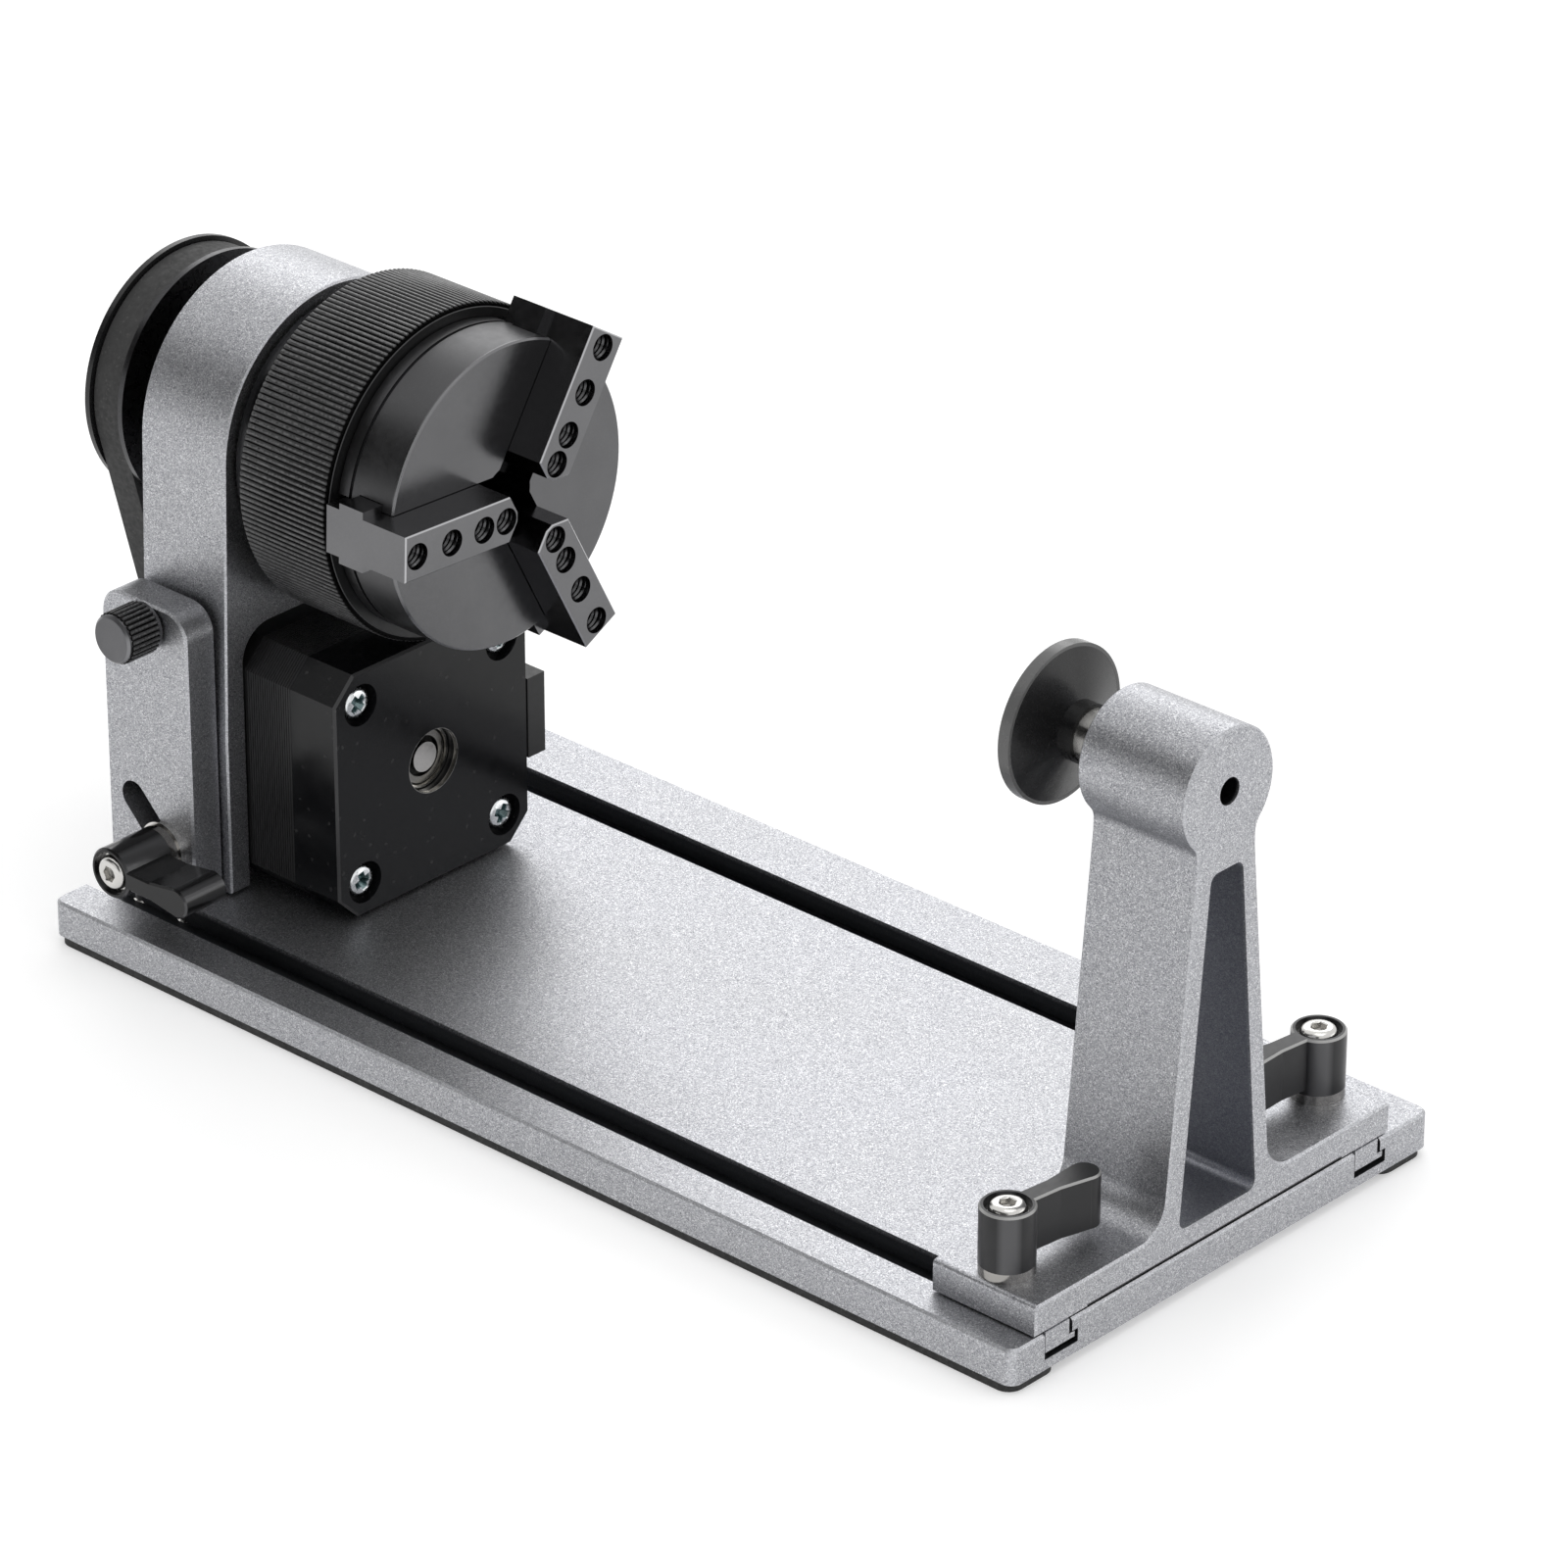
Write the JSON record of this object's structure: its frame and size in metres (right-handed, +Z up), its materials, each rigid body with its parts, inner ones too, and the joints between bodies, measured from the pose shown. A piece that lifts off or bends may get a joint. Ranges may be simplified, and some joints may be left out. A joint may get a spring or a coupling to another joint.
{
  "type": "laser rotary chuck",
  "caption": "Rotary workholder for a laser engraver: tilting headstock with motor, belt and jaw chuck, and a tailstock that slides in the base's T-slots.",
  "frame": {"origin": "under the middle of the whole object, on the surface it stands on", "axes": "+X along the base from the headstock to the tailstock, +Z up, +Y away from the side with the tilt lever"},
  "size_m": [0.2144, 0.095, 0.1075],
  "materials": {
    "grey_anodised": "bead-blasted grey anodised aluminium with a fine sparkle",
    "black_anodised": "satin black anodised aluminium",
    "black_steel": "machined and blackened steel",
    "gloss_black": "gloss black lacquered motor cap",
    "laminations": "stacked motor laminations, blackened",
    "motor_cap_front": "die-cast motor front cap",
    "black_plastic": "moulded black plastic",
    "rubber": "matt black rubber",
    "belt_rubber": "black belt rubber",
    "stainless": "stainless steel",
    "zinc_steel": "zinc-plated steel",
    "bearing_steel": "ground bearing steel",
    "flange_steel": "dark turned pulley flange with a bright rim"
  },
  "bodies": {
    "base": {"base_plate": "grey_anodised", "rubber_strip_near": "rubber", "rubber_strip_far": "rubber", "side_plate_near": "grey_anodised", "side_plate_far": "grey_anodised", "side_plate_screws": "stainless"},
    "carriage": {"pivot_washer_near": "stainless", "pivot_washer_far": "stainless", "pivot_screw_far": "stainless"},
    "side_lever": {"side_lever": "black_anodised", "side_lever_collar": "stainless", "side_lever_washer": "stainless", "side_lever_screw": "stainless"},
    "headstock": {"upright": "grey_anodised", "spindle_bearing_front": "bearing_steel", "spindle_bearing_rear": "bearing_steel", "motor_front_cap": "motor_cap_front", "motor_stator": "laminations", "motor_rear_cap": "gloss_black", "motor_rear_bearing": "bearing_steel", "motor_case_screws": "zinc_steel", "motor_mount_screws": "stainless", "motor_connector": "black_plastic", "drive_belt": "belt_rubber"},
    "motor_rotor": {"motor_rotor": "bearing_steel", "motor_pulley": "black_anodised"},
    "spindle": {"spindle": "bearing_steel", "drive_pulley": "black_anodised", "drive_pulley_flange": "flange_steel", "bearing_inner_rings": "bearing_steel", "chuck_body": "black_steel", "chuck_back_plate": "black_steel"},
    "scroll": {"scroll_ring": "black_anodised"},
    "jaw_1": {"jaw_1": "black_steel"},
    "jaw_2": {"jaw_2": "black_steel"},
    "jaw_3": {"jaw_3": "black_steel"},
    "thumb_near": {"thumb_screw_near": "black_anodised"},
    "thumb_far": {"thumb_screw_far": "black_anodised"},
    "tailstock": {"tailstock": "grey_anodised", "tail_bearings": "bearing_steel"},
    "tail_centre": {"tail_disc": "black_anodised", "tail_shaft": "bearing_steel", "tail_spacer": "stainless"},
    "foot_lever_near": {"foot_lever_near": "black_anodised", "foot_lever_near_collar": "stainless", "foot_lever_near_washer": "stainless", "foot_lever_near_screw": "stainless"},
    "foot_lever_far": {"foot_lever_far": "black_anodised", "foot_lever_far_collar": "stainless", "foot_lever_far_washer": "stainless", "foot_lever_far_screw": "stainless"}
  },
  "joints": [
    {"name": "head_lift", "type": "slide", "parent": "base", "child": "carriage", "axis": [-0.7071, 0, 0.7071], "range_m": [0, 0.0095]},
    {"name": "head_tilt", "type": "hinge", "parent": "carriage", "child": "headstock", "pos_m": [-0.0809, -0.0025, 0.016], "axis": [0, -1, 0], "range_deg": [0, 45]},
    {"name": "side_lever_turn", "type": "hinge", "parent": "carriage", "child": "side_lever", "pos_m": [-0.0809, -0.0345, 0.016], "axis": [0, -1, 0], "range_deg": [0, 150]},
    {"name": "spindle_turn", "type": "hinge", "parent": "headstock", "child": "spindle", "pos_m": [-0.0359, -0.0025, 0.0805], "axis": [1, 0, 0], "continuous": true},
    {"name": "motor_turn", "type": "hinge", "parent": "headstock", "child": "motor_rotor", "pos_m": [-0.0811, -0.0025, 0.029], "axis": [1, 0, 0], "continuous": true},
    {"name": "scroll_turn", "type": "hinge", "parent": "spindle", "child": "scroll", "pos_m": [-0.0477, -0.0025, 0.0805], "axis": [1, 0, 0], "range_deg": [-955, 475]},
    {"name": "jaw_1_slide", "type": "slide", "parent": "spindle", "child": "jaw_1", "axis": [0, 0.5388, 0.8425], "range_m": [-0.004, 0.008]},
    {"name": "jaw_2_slide", "type": "slide", "parent": "spindle", "child": "jaw_2", "axis": [0, -0.999, 0.0454], "range_m": [-0.004, 0.008]},
    {"name": "jaw_3_slide", "type": "slide", "parent": "spindle", "child": "jaw_3", "axis": [0, 0.4602, -0.8878], "range_m": [-0.004, 0.008]},
    {"name": "thumb_near_turn", "type": "hinge", "parent": "base", "child": "thumb_near", "pos_m": [-0.0828, -0.0345, 0.0545], "axis": [0, -1, 0], "continuous": true},
    {"name": "thumb_far_turn", "type": "hinge", "parent": "base", "child": "thumb_far", "pos_m": [-0.0828, 0.0295, 0.0545], "axis": [0, 1, 0], "continuous": true},
    {"name": "tail_slide", "type": "slide", "parent": "base", "child": "tailstock", "axis": [1, 0, 0], "range_m": [-0.1, 0]},
    {"name": "tail_centre_turn", "type": "hinge", "parent": "tailstock", "child": "tail_centre", "pos_m": [0.0872, -0.0025, 0.0803], "axis": [1, 0, 0], "continuous": true},
    {"name": "foot_lever_near_turn", "type": "hinge", "parent": "tailstock", "child": "foot_lever_near", "pos_m": [0.0972, -0.0375, 0.01285], "axis": [0, 0, 1], "range_deg": [0, 180]},
    {"name": "foot_lever_far_turn", "type": "hinge", "parent": "tailstock", "child": "foot_lever_far", "pos_m": [0.0972, 0.0325, 0.01285], "axis": [0, 0, 1], "range_deg": [0, 180]}
  ],
  "couplings": [
    {"joint": "head_lift", "follows": "head_tilt", "m_per_rad": 0.012096},
    {"joint": "motor_turn", "follows": "spindle_turn", "ratio": 3},
    {"joint": "jaw_1_slide", "follows": "scroll_turn", "m_per_rad": -0.00047746},
    {"joint": "jaw_2_slide", "follows": "scroll_turn", "m_per_rad": -0.00047746},
    {"joint": "jaw_3_slide", "follows": "scroll_turn", "m_per_rad": -0.00047746}
  ]
}
